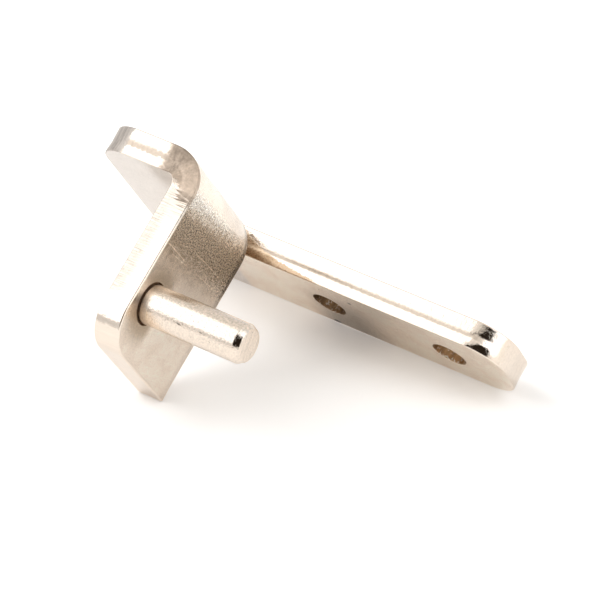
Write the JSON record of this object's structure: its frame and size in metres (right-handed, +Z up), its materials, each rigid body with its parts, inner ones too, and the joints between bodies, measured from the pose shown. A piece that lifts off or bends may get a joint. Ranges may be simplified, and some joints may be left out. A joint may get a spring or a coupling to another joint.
{
  "type": "fryer door hinge",
  "caption": "Folded and plated steel door hinge: a flat arm with screw holes, a heel, and a tab bent down at a right angle that carries a fixed pivot pin for the door to turn on.",
  "frame": {"origin": "centre of the bounding box at its base, on the table that the hinge rests on", "axes": "+X along the arm and the pin, towards the pin's free end; +Z up as the hinge rests on the tab's lower back edge and the plate's back edge; +Y from the pin's side to the arm's side"},
  "size_m": [0.0642, 0.0478, 0.037],
  "materials": {
    "bracket_plating": "warm nickel plate over blanked steel sheet, satin faces and bright edges, lightly scratched",
    "pin_plating": "warm nickel plate over a turned pin, bright"
  },
  "bodies": {
    "root": {"hinge_bracket": "bracket_plating", "hinge_pin": "pin_plating"}
  },
  "joints": []
}
